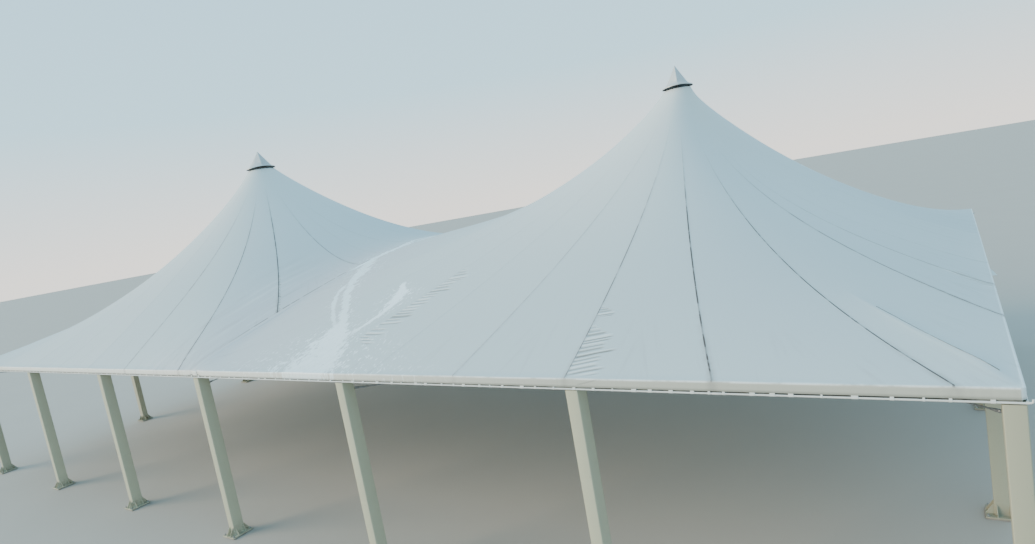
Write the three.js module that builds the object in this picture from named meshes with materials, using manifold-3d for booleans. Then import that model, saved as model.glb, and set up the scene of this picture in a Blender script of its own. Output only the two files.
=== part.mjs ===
// Two-peak tensioned membrane tent on a frame of box columns. Millimetres, +Z up.
// The origin is on the floor at the middle of the plan, +X runs along the front eave to the right
// and +Y runs from the front to the back.
import * as THREE from "three";
import { mergeVertices } from "three/addons/utils/BufferGeometryUtils.js";
import Module from "manifold-3d";

// Driving dimensions of the plan
const bay = 5700;
const baysWide = 6;
const baysDeep = 3;
const fitGap = 0.3;

// Columns, welded to their base plates
const column = { width: 230, depth: 300, top: 4479.7 };
const basePlate = { width: 500, depth: 590, thickness: 25 };
const groutPad = { inset: 30, thickness: 30 };
const gusset = { height: 200, thickness: 12, toe: 15, sunk: 5, edgeGap: 10, offsetWide: 75, offsetDeep: 105 };

// How far shapes that are joined into one solid reach into each other
const sink = 2;

// Eave: the fabric band, the beam behind it and the rail below it
const eaveTop = 4685;
const fabricThickness = 20;
const fabricAtRing = 6;
const fasciaDepth = 140;
const edgeBeam = { depth: 200, bottom: 4480 };
const edgeRail = { radius: 21, sides: 12, overrun: 75 };

// The two peaks: place along the front, fabric ring, pointed cap and mast
const peaks = {
  left: { x: -7571, ringRadius: 500, ringTop: 10690, capRadius: 556, capGap: 73, capTip: 11480 },
  right: { x: 10900, ringRadius: 313, ringTop: 9756, capRadius: 363, capGap: 50, capTip: 10385 },
};
const ring = { wall: 50, height: 60 };
const spokes = { count: 6, width: 40, height: 24, lift: 5, sunk: 15 };
const hub = { radius: 110, below: 20, above: 40, sides: 24 };
const cap = { skin: 12, lip: 30, stemRadius: 45, sides: 40 };
const edgeClear = 25;

// Fullness of each fabric cone, in the sense of 1 - s^fullness, where s runs from 0 at the peak to
// 1 at the eave: towards its own end, towards the valley, and what is added for the back (lean),
// for front and back alike (cross) and for the back corner of its own end (twist). Corner is how
// round the level lines stay near the corners, and reach is how far the cone carries past the
// valley side.
const coneShape = {
  left: { out: 0.403, in: 0.703, lean: 0.049, cross: 0.237, twist: -0.067, corner: 0.82, reach: 8158 },
  right: { out: 0.382, in: 0.728, lean: 0.201, cross: 0.247, twist: 0.101, corner: 0.283, reach: 9471 },
};
const saddle = { height: 2151, x: 2625, width: 7874, lean: 0.393 };

// Flying masts and their stays
const mast = { radius: 97, foot: 2900, taper: 320, neck: 60, endRadius: 62, sides: 24 };
const flange = { radius: 170, thickness: 32 };
const stay = { radius: 12, forkRadius: 27, forkLength: 320, forkTaper: 60, columnHeight: 4250, sides: 10 };
const lug = { length: 90, width: 20, height: 110, sunk: 20 };
const stayColumns = { left: [-3, 0], right: [1, 3] };

// Grid of the fabric solids, and the smallest step that counts as one
const wallSegments = 10;
const ringSteps = 8;
const ringPacking = 1.6;
const tiny = 1e-9;

const halfWide = (baysWide * bay) / 2 + column.width / 2;
const halfDeep = (baysDeep * bay) / 2 + column.depth / 2;

const wasm = await Module();
wasm.setup();

const materials = {
  fabric: () => new THREE.MeshStandardMaterial({ color: 0xc4cfd1, roughness: 0.55, metalness: 0 }),
  paintedSteel: () => new THREE.MeshStandardMaterial({ color: 0xb9b9a6, roughness: 0.5, metalness: 0.1 }),
  railPaint: () => new THREE.MeshStandardMaterial({ color: 0xd9dbd6, roughness: 0.4, metalness: 0.1 }),
  capSheet: () => new THREE.MeshStandardMaterial({ color: 0xb4c0c4, roughness: 0.4, metalness: 0.2 }),
  galvanised: () => new THREE.MeshStandardMaterial({ color: 0x8d9294, roughness: 0.45, metalness: 0.8 }),
};

const tent = new THREE.Group();

function addPiece(name, geometry, material) {
  const mesh = new THREE.Mesh(geometry, materials[material]());
  mesh.name = name;
  tent.add(mesh);
  return mesh;
}

// Joins of solids
function toSolid(geometry) {
  const bare = geometry.index ? geometry.toNonIndexed() : geometry.clone();
  bare.deleteAttribute("normal");
  bare.deleteAttribute("uv");
  const mergeDistance = 1e-3;
  const merged = mergeVertices(bare, mergeDistance);
  return new wasm.Manifold(
    new wasm.Mesh({
      numProp: 3,
      vertProperties: merged.attributes.position.array,
      triVerts: new Uint32Array(merged.index.array),
    }),
  );
}

function joined(geometries) {
  const solids = geometries.map(toSolid);
  const whole = solids.reduce((sum, solid) => sum.add(solid)).getMesh();
  const geometry = new THREE.BufferGeometry();
  geometry.setAttribute("position", new THREE.BufferAttribute(new Float32Array(whole.vertProperties), 3));
  geometry.setIndex(new THREE.BufferAttribute(new Uint32Array(whole.triVerts), 1));
  return geometry;
}

function isNear(a, b) {
  return Math.abs(a - b) < 1;
}

function boxBetween(low, high) {
  const size = high.map((value, axis) => value - low[axis]);
  const middle = high.map((value, axis) => (value + low[axis]) / 2);
  return new THREE.BoxGeometry(...size).translate(...middle);
}

// Columns
function gussetPlate(run, faceDistance, sideOffset, turn) {
  const outline = new THREE.Shape();
  outline.moveTo(-gusset.sunk, 0);
  outline.lineTo(run, 0);
  outline.lineTo(run, gusset.toe);
  outline.lineTo(gusset.toe, gusset.height);
  outline.lineTo(-gusset.sunk, gusset.height);
  outline.closePath();
  const plate = new THREE.ExtrudeGeometry(outline, { depth: gusset.thickness, bevelEnabled: false });
  plate.translate(faceDistance, 0, -gusset.thickness / 2);
  plate.rotateX(Math.PI / 2);
  plate.translate(0, sideOffset, groutPad.thickness + basePlate.thickness - sink);
  return plate.rotateZ(turn);
}

function columnSolid(lugs) {
  const plateTop = groutPad.thickness + basePlate.thickness;
  const halfShaft = [column.width / 2, column.depth / 2];
  const halfPlate = [basePlate.width / 2, basePlate.depth / 2];
  const halfPad = halfPlate.map((half) => half - groutPad.inset);
  const slab = (half, low, high) => boxBetween([-half[0], -half[1], low], [half[0], half[1], high]);
  const shapes = [
    slab(halfShaft, plateTop - sink, column.top),
    slab(halfPlate, groutPad.thickness, plateTop),
    slab(halfPad, 0, groutPad.thickness + sink),
  ];
  const runWide = halfPlate[0] - halfShaft[0] - gusset.edgeGap;
  const runDeep = halfPlate[1] - halfShaft[1] - gusset.edgeGap;
  for (const side of [-1, 1]) {
    for (const turn of [0, Math.PI])
      shapes.push(gussetPlate(runWide, halfShaft[0], side * gusset.offsetDeep, turn));
    for (const turn of [Math.PI / 2, -Math.PI / 2])
      shapes.push(gussetPlate(runDeep, halfShaft[1], side * gusset.offsetWide, turn));
  }
  return joined(shapes.concat(lugs));
}

// Stays run from the mast's foot flange to a lug on the inner face of a column
function stayLines() {
  const lines = [];
  const lugReach = lug.length - lug.sunk;
  for (const [side, peak] of Object.entries(peaks)) {
    for (const columnIndex of stayColumns[side]) {
      for (const across of [-1, 1]) {
        const innerFace = across * (halfDeep - column.depth);
        const root = new THREE.Vector3(columnIndex * bay, innerFace, stay.columnHeight);
        const axis = new THREE.Vector3(peak.x, 0, mast.foot);
        const along = root.clone().sub(axis).normalize();
        const flat = Math.hypot(along.x, along.y);
        const start = axis.clone().addScaledVector(along, (flange.radius + lugReach) / flat);
        const end = root.clone().addScaledVector(along, -lugReach);
        lines.push({ side, columnIndex, across, along, start, end, root });
      }
    }
  }
  return lines;
}

// A lug plate from the point of its root, set along the stay; its far end is square to the stay
function lugPlate(root, along, sunk) {
  const plate = new THREE.BoxGeometry(lug.length, lug.width, lug.height);
  plate.translate(lug.length / 2 - sunk, 0, 0);
  const sideways = new THREE.Vector3(-along.y, along.x, 0).normalize();
  const upward = along.clone().cross(sideways);
  const turn = new THREE.Matrix4().makeBasis(along, sideways, upward).setPosition(root);
  return plate.applyMatrix4(turn);
}

const stays = stayLines();

function columnPieces() {
  const places = [];
  for (let i = 0; i <= baysWide; i++) {
    const x = (i - baysWide / 2) * bay;
    places.push({ name: "column_front_" + (i + 1), x, y: -(halfDeep - column.depth / 2), turn: 0 });
    places.push({ name: "column_back_" + (i + 1), x, y: halfDeep - column.depth / 2, turn: 0 });
  }
  for (let j = 1; j < baysDeep; j++) {
    const y = (j - baysDeep / 2) * bay;
    const x = halfWide - column.depth / 2;
    places.push({ name: "column_left_" + j, x: -x, y, turn: Math.PI / 2 });
    places.push({ name: "column_right_" + j, x, y, turn: Math.PI / 2 });
  }
  for (const place of places) {
    const lugs = stays
      .filter((line) => place.turn === 0 && Math.sign(place.y) === line.across)
      .filter((line) => isNear(line.columnIndex * bay, place.x))
      .map((line) => {
        const root = line.root.clone().sub(new THREE.Vector3(place.x, place.y, 0));
        return lugPlate(root, line.along.clone().negate(), lug.sunk);
      });
    const mesh = addPiece(place.name, columnSolid(lugs), "paintedSteel");
    mesh.position.set(place.x, place.y, 0);
    mesh.rotation.z = place.turn;
  }
}

// Fabric surface: height above the eave at a plan point
function coneHeight(side, x, y) {
  const peak = peaks[side];
  const shape = coneShape[side];
  const endSign = side === "left" ? -1 : 1;
  const dx = (x - peak.x) * endSign;
  const reach = dx > 0 ? halfWide - Math.abs(peak.x) : shape.reach;
  const alongShare = Math.min(Math.abs(dx) / reach, 1);
  const acrossShare = Math.min(Math.abs(y) / halfDeep, 1);
  const away = Math.hypot(dx, y) + tiny;
  const [outwards, backward] = [dx / away, y / away];
  const plain = shape.in + (shape.out - shape.in) * (0.5 + 0.5 * outwards);
  const fullness = plain + backward * (shape.lean + shape.cross * backward + shape.twist * outwards);
  const along = Math.max(1 - alongShare ** 2, tiny);
  const across = Math.max(1 - acrossShare ** 2, tiny);
  const left = (along ** -shape.corner + across ** -shape.corner - 1) ** (-1 / shape.corner);
  const run = Math.sqrt(Math.max(1 - left, 0));
  const ringRun = (peak.ringRadius + edgeClear) / halfDeep;
  const share = (1 - run ** fullness) / (1 - ringRun ** fullness);
  return (peak.ringTop - eaveTop) * Math.min(Math.max(share, 0), 1);
}

// The saddle between the peaks fades out towards each ring, so that the fabric meets it level
function fabricHeight(x, y) {
  const cones = Object.keys(peaks).map((side) => coneHeight(side, x, y));
  const fades = Object.values(peaks).map((peak, i) => 1 - (cones[i] / (peak.ringTop - eaveTop)) ** 4);
  const across = Math.max(1 - (y / halfDeep) ** 2, 0) * (1 + (saddle.lean * y) / halfDeep);
  const ridge = saddle.height * Math.exp(-(((x - saddle.x) / saddle.width) ** 2)) * across;
  return Math.hypot(...cones, ridge * fades[0] * fades[1]);
}

function fabricNormal(x, y) {
  const step = 5;
  const slopeX = (fabricHeight(x + step, y) - fabricHeight(x - step, y)) / (2 * step);
  const slopeY = (fabricHeight(x, y + step) - fabricHeight(x, y - step)) / (2 * step);
  return new THREE.Vector3(-slopeX, -slopeY, 1).normalize();
}

// Plan points around one half, in order, with the walls that each one stands on
function halfOutline(side) {
  const inner = fitGap / 2;
  const lowX = side === "left" ? -halfWide : inner;
  const highX = side === "left" ? -inner : halfWide;
  const corners = [
    [lowX, -halfDeep],
    [highX, -halfDeep],
    [highX, halfDeep],
    [lowX, halfDeep],
  ];
  const points = [];
  corners.forEach(([x0, y0], index) => {
    const [x1, y1] = corners[(index + 1) % 4];
    for (let k = 0; k < wallSegments; k++) {
      const t = k / wallSegments;
      const x = x0 + (x1 - x0) * t;
      const y = y0 + (y1 - y0) * t;
      const endWall = isNear(Math.abs(x), halfWide);
      const longWall = isNear(Math.abs(y), halfDeep);
      points.push({ x, y, endWall, longWall });
    }
  });
  return points;
}

// One half of the canopy: top skin, underside, the band down over the beam, and the valley edge
function membraneSolid(side) {
  const peak = peaks[side];
  const outline = halfOutline(side);
  const vertices = [];
  const triangles = [];
  const put = (x, y, z) => vertices.push(x, y, z) / 3 - 1;
  const quad = (a, b, c, d) => triangles.push(a, b, c, a, c, d);

  const lines = outline.map((point) => {
    const angle = Math.atan2(point.y, point.x - peak.x);
    const topRadius = peak.ringRadius + edgeClear;
    const startX = peak.x + topRadius * Math.cos(angle);
    const startY = topRadius * Math.sin(angle);
    const top = [];
    const under = [];
    for (let k = 0; k < ringSteps; k++) {
      const t = (k / ringSteps) ** ringPacking;
      const x = startX + (point.x - startX) * t;
      const y = startY + (point.y - startY) * t;
      const z = eaveTop + fabricHeight(x, y);
      top.push(put(x, y, z));
      if (k === 0) {
        const seat = peak.ringRadius + fitGap;
        under.push(put(peak.x + seat * Math.cos(angle), seat * Math.sin(angle), z - fabricAtRing));
      } else {
        const normal = fabricNormal(x, y);
        under.push(
          put(x - normal.x * fabricThickness, y - normal.y * fabricThickness, z - normal.z * fabricThickness),
        );
      }
    }
    const onWall = point.endWall || point.longWall;
    const z = eaveTop + (onWall ? 0 : fabricHeight(point.x, point.y));
    const inX = point.x - (point.endWall ? Math.sign(point.x) * fabricThickness : 0);
    const inY = point.y - (point.longWall ? Math.sign(point.y) * fabricThickness : 0);
    top.push(put(point.x, point.y, z));
    under.push(put(inX, inY, z - fabricThickness));
    const band = onWall && {
      outer: put(point.x, point.y, eaveTop - fasciaDepth),
      inner: put(inX, inY, eaveTop - fasciaDepth),
    };
    return { top, under, band, point };
  });

  lines.forEach((line, index) => {
    const next = lines[(index + 1) % lines.length];
    for (let k = 0; k < ringSteps; k++) {
      quad(line.top[k], line.top[k + 1], next.top[k + 1], next.top[k]);
      quad(line.under[k], next.under[k], next.under[k + 1], line.under[k + 1]);
    }
    quad(line.top[0], next.top[0], next.under[0], line.under[0]);
    const sameWall =
      (line.point.endWall && next.point.endWall) || (line.point.longWall && next.point.longWall);
    const last = ringSteps;
    if (sameWall) {
      quad(line.top[last], line.band.outer, next.band.outer, next.top[last]);
      quad(line.band.outer, line.band.inner, next.band.inner, next.band.outer);
      quad(line.band.inner, line.under[last], next.under[last], next.band.inner);
      return;
    }
    quad(line.top[last], line.under[last], next.under[last], next.top[last]);
    if (line.band) quad(line.top[last], line.band.outer, line.band.inner, line.under[last]);
    if (next.band) quad(next.top[last], next.under[last], next.band.inner, next.band.outer);
  });

  const geometry = new THREE.BufferGeometry();
  geometry.setAttribute("position", new THREE.BufferAttribute(new Float32Array(vertices), 3));
  geometry.setIndex(triangles);
  return geometry;
}

// Eave beams and rails
function eavePieces() {
  const outX = halfWide - fabricThickness - fitGap;
  const outY = halfDeep - fabricThickness - fitGap;
  const beamTop = eaveTop - fabricThickness - fitGap;
  const sideEnd = outY - edgeBeam.depth - fitGap;
  const railAway = edgeRail.radius + fitGap;
  const railMiddle = edgeBeam.bottom + edgeRail.radius;
  const circle = new THREE.CylinderGeometry(edgeRail.radius, edgeRail.radius, 1, edgeRail.sides);
  const railAlong = (length, turnAxis) => {
    const bar = circle.clone().scale(1, length, 1);
    return turnAxis === "x" ? bar.rotateZ(Math.PI / 2) : bar;
  };
  for (const [name, sign] of [
    ["front", -1],
    ["back", 1],
  ]) {
    const faces = [sign * outY, sign * (outY - edgeBeam.depth)].sort((a, b) => a - b);
    addPiece(
      "edge_beam_" + name,
      boxBetween([-outX, faces[0], edgeBeam.bottom], [outX, faces[1], beamTop]),
      "paintedSteel",
    );
    const railLength = 2 * (halfWide + edgeRail.overrun);
    const rail = addPiece("edge_rail_" + name, railAlong(railLength, "x"), "railPaint");
    rail.position.set(0, sign * (outY + railAway), railMiddle);
  }
  for (const [name, sign] of [
    ["left", -1],
    ["right", 1],
  ]) {
    const faces = [sign * outX, sign * (outX - edgeBeam.depth)].sort((a, b) => a - b);
    addPiece(
      "edge_beam_" + name,
      boxBetween([faces[0], -sideEnd, edgeBeam.bottom], [faces[1], sideEnd, beamTop]),
      "paintedSteel",
    );
    const rail = addPiece("edge_rail_" + name, railAlong(2 * (outY - fitGap), "y"), "railPaint");
    rail.position.set(sign * (outX + railAway), 0, railMiddle);
  }
}

// Peak rings, caps and masts, each turned about its own upright axis
function turned(profile, sides) {
  const points = profile.map(([radius, height]) => new THREE.Vector2(radius, height));
  return new THREE.LatheGeometry(points, sides).rotateX(Math.PI / 2);
}

// The ring has a corner on each line of the fabric, so that the fabric's top edge lies along it
function ringSolid(side) {
  const peak = peaks[side];
  const low = peak.ringTop - ring.height;
  const inside = peak.ringRadius - ring.wall;
  const angles = halfOutline(side).map((point) => Math.atan2(point.y, point.x - peak.x));
  const loop = (radius) => angles.map((a) => new THREE.Vector2(radius * Math.cos(a), radius * Math.sin(a)));
  const outline = new THREE.Shape(loop(peak.ringRadius));
  outline.holes.push(new THREE.Path(loop(inside)));
  const band = new THREE.ExtrudeGeometry(outline, { depth: ring.height, bevelEnabled: false });
  band.translate(0, 0, low);
  const hubLow = low - hub.below;
  const hubHigh = low + hub.above;
  const boss = turned([[0, hubLow], [hub.radius, hubLow], [hub.radius, hubHigh], [0, hubHigh]], hub.sides);
  const parts = [band, boss];
  const spokeLow = low + spokes.lift;
  for (let k = 0; k < spokes.count; k++) {
    const spoke = boxBetween(
      [hub.radius - spokes.sunk, -spokes.width / 2, spokeLow],
      [inside + spokes.sunk, spokes.width / 2, spokeLow + spokes.height],
    );
    parts.push(spoke.rotateZ((k * 2 * Math.PI) / spokes.count));
  }
  return joined(parts);
}

function capSolid(peak) {
  const base = peak.ringTop + peak.capGap;
  const rise = (peak.capTip - base - cap.lip) / peak.capRadius;
  const seat = peak.ringTop - ring.height + hub.above + fitGap;
  const skinDrop = cap.skin * Math.hypot(1, rise);
  const underStem = peak.capTip - skinDrop - rise * cap.stemRadius;
  return turned(
    [
      [0, seat],
      [cap.stemRadius, seat],
      [cap.stemRadius, underStem],
      [peak.capRadius - cap.skin, base + cap.lip - skinDrop + rise * cap.skin],
      [peak.capRadius - cap.skin, base],
      [peak.capRadius, base],
      [peak.capRadius, base + cap.lip],
      [0, peak.capTip],
    ],
    cap.sides,
  );
}

function mastSolid(side) {
  const peak = peaks[side];
  const head = peak.ringTop - ring.height - hub.below - fitGap;
  const flangeLow = mast.foot - flange.thickness / 2;
  const flangeHigh = mast.foot + flange.thickness / 2;
  const shaft = turned(
    [
      [0, flangeLow - mast.neck],
      [mast.endRadius, flangeLow - mast.neck],
      [mast.endRadius, flangeLow],
      [flange.radius, flangeLow],
      [flange.radius, flangeHigh],
      [mast.endRadius, flangeHigh],
      [mast.endRadius, flangeHigh + mast.neck],
      [mast.radius, flangeHigh + mast.taper],
      [mast.radius, head - mast.taper],
      [mast.endRadius, head],
      [0, head],
    ],
    mast.sides,
  );
  const lugs = stays
    .filter((line) => line.side === side)
    .map((line) => lugPlate(line.start.clone().sub(new THREE.Vector3(peak.x, 0, 0)), line.along, lug.length));
  return joined([shaft, ...lugs]);
}

// A stay is a cable with a round fork at each end, turned about the line between its lugs
function staySolid(line) {
  const length = line.start.distanceTo(line.end) - 2 * fitGap;
  const bar = turned(
    [
      [0, 0],
      [stay.forkRadius, 0],
      [stay.forkRadius, stay.forkLength],
      [stay.radius, stay.forkLength + stay.forkTaper],
      [stay.radius, length - stay.forkLength - stay.forkTaper],
      [stay.forkRadius, length - stay.forkLength],
      [stay.forkRadius, length],
      [0, length],
    ],
    stay.sides,
  );
  const turn = new THREE.Quaternion().setFromUnitVectors(new THREE.Vector3(0, 0, 1), line.along);
  const place = line.start.clone().addScaledVector(line.along, fitGap);
  return bar.applyQuaternion(turn).translate(place.x, place.y, place.z);
}

columnPieces();
eavePieces();
for (const side of Object.keys(peaks)) {
  const peak = peaks[side];
  addPiece("membrane_" + side, membraneSolid(side), "fabric");
  addPiece("peak_ring_" + side, ringSolid(side), "galvanised").position.x = peak.x;
  addPiece("peak_cap_" + side, capSolid(peak), "capSheet").position.x = peak.x;
  addPiece("flying_mast_" + side, mastSolid(side), "galvanised").position.x = peak.x;
}
stays.forEach((line) => {
  const place = line.across < 0 ? "front" : "back";
  const order = stayColumns[line.side].indexOf(line.columnIndex) + 1;
  addPiece(["stay", line.side, place, order].join("_"), staySolid(line), "galvanised");
});

export default tent;
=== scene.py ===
import math

import bpy
import numpy as np
from mathutils import Matrix, Vector


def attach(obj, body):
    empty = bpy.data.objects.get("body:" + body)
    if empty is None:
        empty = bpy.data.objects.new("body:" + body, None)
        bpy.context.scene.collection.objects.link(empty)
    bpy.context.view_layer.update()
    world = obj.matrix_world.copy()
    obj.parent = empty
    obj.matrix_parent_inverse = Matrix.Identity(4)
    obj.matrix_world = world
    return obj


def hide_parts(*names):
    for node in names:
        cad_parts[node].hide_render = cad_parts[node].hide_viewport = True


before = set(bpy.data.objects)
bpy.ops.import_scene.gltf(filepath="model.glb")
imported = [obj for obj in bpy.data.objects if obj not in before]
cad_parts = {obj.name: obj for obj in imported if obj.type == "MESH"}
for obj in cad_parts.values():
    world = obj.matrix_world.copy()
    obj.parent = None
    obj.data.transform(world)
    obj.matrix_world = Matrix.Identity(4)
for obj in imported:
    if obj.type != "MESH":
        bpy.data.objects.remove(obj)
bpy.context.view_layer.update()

# The tent's plan in metres: origin on the floor in the middle, +X along the front eave to the right
plan = {
    "bay": 5.7, "baysWide": 6, "baysDeep": 3, "halfWide": 17.215, "halfDeep": 8.7, "eaveTop": 4.685,
    "bandBottom": 4.539, "beamBottom": 4.48, "beamTop": 4.6647, "beamDeep": 0.2, "beamFaceX": 17.1947,
    "beamFaceY": 8.6797, "columnWide": 0.23, "columnDeep": 0.3, "columnTop": 4.4797, "fitGap": 0.0003,
}
bay, halfWide, halfDeep, eaveTop = plan["bay"], plan["halfWide"], plan["halfDeep"], plan["eaveTop"]
peaks = {
    "left": {
        "sign": -1, "x": -7.571, "ring": 0.5, "top": 10.69, "capRadius": 0.556, "capGap": 0.073, "tip": 11.48,
    },
    "right": {
        "sign": 1, "x": 10.9, "ring": 0.313, "top": 9.756, "capRadius": 0.363, "capGap": 0.05, "tip": 10.385,
    },
}
longSides, shortSides = {"front": -1, "back": 1}, {"left": -1, "right": 1}
quarter = math.pi / 2
tipX, tipY = (Matrix.Rotation(quarter, 4, axis) for axis in "XY")
leftOf = np.array([[0, 1], [-1, 0]])  # turns rows of x and y a quarter to the left


# Mesh tools
def placed(name, data):
    made = bpy.data.objects.new(name, data)
    bpy.context.scene.collection.objects.link(made)
    return made


class Part:
    # Gathers surfaces into one mesh: points in metres, faces as rows of corner numbers
    def __init__(self, name, *finishes):
        self.name, self.finishes, self.count = name, finishes, 0
        self.points, self.faces, self.slots, self.marks = [], [], [], {}

    def add(self, surface, slot=0, place=None, **marks):
        points, faces = surface
        points = np.asarray(points, float).reshape(-1, 3)
        if place is not None:
            grid = np.array(place, float)
            points = points @ grid[:3, :3].T + grid[:3, 3]
        self.points.append(points)
        for group in faces:
            self.faces.append(group + self.count)
            self.slots.append(np.full(len(group), slot))
        for key, values in marks.items():
            self.marks.setdefault(key, []).append((self.count, np.asarray(values, float)))
        self.count += len(points)
        return self

    def build(self, smoothAngle, replaced=()):
        mesh = bpy.data.meshes.new(self.name)
        faces = [face for group in self.faces for face in group.tolist()]
        mesh.from_pydata(np.concatenate(self.points), [], faces)
        mesh.polygons.foreach_set("material_index", np.concatenate(self.slots).astype(np.int32))
        mesh.validate()
        for key, pieces in self.marks.items():
            wide = pieces[0][1].ndim > 1
            whole = np.zeros((self.count, 3) if wide else self.count, np.float32)
            for start, values in pieces:
                whole[start:start + len(values)] = values
            layer = mesh.attributes.new(key, "FLOAT_VECTOR" if wide else "FLOAT", "POINT")
            layer.data.foreach_set("vector" if wide else "value", whole.ravel())
        for finish in self.finishes:
            mesh.materials.append(finish)
        mesh.shade_smooth()
        mesh.set_sharp_from_angle(angle=math.radians(smoothAngle))
        made = placed(self.name, mesh)
        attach(made, "root")
        if replaced:
            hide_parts(*replaced)
        return made


def joined(*values):
    # Numbers and arrays side by side, such as x, y and z as points
    return np.stack(np.broadcast_arrays(*values), -1)


def unit(rows):
    # Each row divided by its length
    return rows / np.linalg.norm(rows, axis=-1, keepdims=True)


def around(turn):
    # The unit circle's point at each angle
    return joined(np.cos(turn), np.sin(turn))


def gridFaces(rows, columns, closed=True, loop=False, flip=False):
    # Quads between neighbours of a grid; closed joins the last column to the first, loop the last row
    row, column = np.meshgrid(np.arange(rows - (not loop)), np.arange(columns - (not closed)), indexing="ij")
    after, here, above = (column + 1) % columns, row * columns, (row + 1) % rows * columns
    quads = joined(here + column, here + after, above + after, above + column).reshape(-1, 4)
    return quads[:, ::-1] if flip else quads


def shell(rings, middles=(), loop=False, flip=False):
    # A surface through closed rings of points, each end closed by a fan to its middle point
    rings = np.asarray(rings, float)
    rows, columns = rings.shape[:2]
    points, faces = rings.reshape(-1, 3), [gridFaces(rows, columns, loop=loop, flip=flip)]
    for row, middle in zip((0, rows - 1), middles):
        if middle is not None:
            ring = row * columns + np.arange(columns)
            fan = joined(ring, np.roll(ring, -1), len(points))
            faces.append(fan[:, ::-1] if (row == 0) != flip else fan)
            points = np.vstack([points, middle])
    return points, faces


def circle(sides):
    return around(np.arange(sides) * 2 * np.pi / sides)


def turnedRings(profile, sides):
    # A profile of radius and height turned about Z
    profile = np.asarray(profile, float)[:, None]
    return np.concatenate([profile[..., :1] * circle(sides), np.repeat(profile[..., 1:], sides, axis=1)], -1)


def lathe(profile, sides):
    # A turned profile; a radius of 0 at an end becomes one pole point
    profile = np.array(profile, float)
    poles = [None if radius > 1e-7 else [0, 0, height] for radius, height in profile[[0, -1]]]
    return shell(turnedRings(profile[profile[:, 0] > 1e-7], sides), poles)


def drum(radius, low, high, foot, head, edge):
    # Profile of a short cylinder whose radius is less by foot and head at its two ends
    wall = [(radius - foot, low), (radius, low + edge), (radius, high - edge), (radius - head, high)]
    return [(0, low), *wall, (0, high)]


def roundedOutline(width, depth, radius, steps=4):
    # A rectangle whose corners are quarter circles, counter-clockwise
    parts = []
    for k, (sx, sy) in enumerate([(1, 1), (-1, 1), (-1, -1), (1, -1)]):
        middle = [sx * (width / 2 - radius), sy * (depth / 2 - radius)]
        parts.append(middle + radius * around(np.linspace(0, quarter, steps + 1) + k * quarter))
    return np.concatenate(parts)


def slab(low, high, foot, head=None):
    # Levels of a plate whose lower and upper edges are eased by foot and head
    head = foot if head is None else head
    return [(low, foot), (low + foot, 0), (high - head, 0), (high, head)]


def prism(outline, levels):
    # A convex outline carried up through levels of (height, inset), closed by a fan at each end
    outline = np.asarray(outline, float)
    ahead = np.roll(outline, -1, axis=0) - np.roll(outline, 1, axis=0)
    inward = unit(ahead) @ leftOf
    flat = np.zeros(len(outline))
    rings = [np.column_stack([outline + inward * inset, flat + height]) for height, inset in levels]
    return shell(rings, [[*outline.mean(axis=0), levels[end][0]] for end in (0, -1)])


def sweep(path, radius=1, sides=8, outline=None, aside=None):
    # An outline, a circle if none is given, carried along a path; aside gives the outline's first axis
    path = np.asarray(path, float)
    ahead = unit(np.gradient(path, axis=0))
    if aside is None:
        aside = np.cross(ahead, np.where(np.abs(ahead[:, 2:]) > 0.95, [[1, 0, 0]], [[0, 0, 1]]))
    side = unit(aside)
    rise = unit(np.cross(side, ahead))
    outline = circle(sides) if outline is None else outline
    radius = np.broadcast_to(radius, len(path))[:, None, None]
    rings = path[:, None] + radius * (outline[:, :1] * side[:, None] + outline[:, 1:] * rise[:, None])
    return shell(rings, path[[0, -1]], flip=True)


def laid(axis, at, across, height):
    # Points given by their place along an eave, across it and their height
    return joined(at, across, height) if axis == "x" else joined(across, at, height)


def moved(x=0, y=0, z=0, turn=0):
    # A turn about Z, then a shift
    return Matrix.Translation((x, y, z)) @ Matrix.Rotation(turn, 4, "Z")


def smooth(value, low, high):
    # 0 below low, 1 above high, and 3 t^2 - 2 t^3 in between
    t = np.clip((value - low) / (high - low), 0, 1)
    return t * t * (3 - 2 * t)


def wrapped(angle, turn=2 * np.pi):
    # The same angle, within half a turn of 0
    return (angle + turn / 2) % turn - turn / 2


# Material tools
def sumOf(operation, swapped=False):
    # An operator that adds one Math node
    def apply(self, *others):
        return self.finish.maths(operation, *((*others, self) if swapped else (self, *others)))

    return apply


class Wire:
    # One socket of a material, so that sums on it are written as plain expressions
    def __init__(self, finish, socket):
        self.finish, self.socket = finish, socket

    __add__ = __radd__ = sumOf("ADD")
    __mul__ = __rmul__ = sumOf("MULTIPLY")
    __sub__, __rsub__, __truediv__ = sumOf("SUBTRACT"), sumOf("SUBTRACT", swapped=True), sumOf("DIVIDE")
    __abs__, larger, smaller = sumOf("ABSOLUTE"), sumOf("MAXIMUM"), sumOf("MINIMUM")
    sine, whole = sumOf("SINE"), sumOf("FLOOR")

    def between(self, low, high):
        # 0 below low, 1 above high, smooth in between
        values = {"Value": self, "From Min": low, "From Max": high}
        return self.finish.wire("MapRange", {"interpolation_type": "SMOOTHSTEP"}, values)

    def noise(self, scale, detail=3, rough=0.55):
        values = {"Vector": self, "Scale": scale, "Detail": detail, "Roughness": rough}
        return self.finish.wire("TexNoise", {}, values)

    def bump(self, strength, distance, under=None):
        values = {"Height": self, "Strength": strength, "Distance": distance}
        return self.finish.wire("Bump", {}, {**values, "Normal": under} if under else values)

    def scaled(self, *scale):
        return self.finish.wire("VectorMath", {"operation": "MULTIPLY"}, {0: self, 1: scale})

    def dot(self, direction):
        return self.finish.wire("VectorMath", {"operation": "DOT_PRODUCT"}, {0: self, 1: direction}, "Value")

    def parts(self):
        node = self.finish.tree.nodes.new("ShaderNodeSeparateXYZ")
        self.finish.put(node, {0: self})
        return [Wire(self.finish, socket) for socket in node.outputs]


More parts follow.
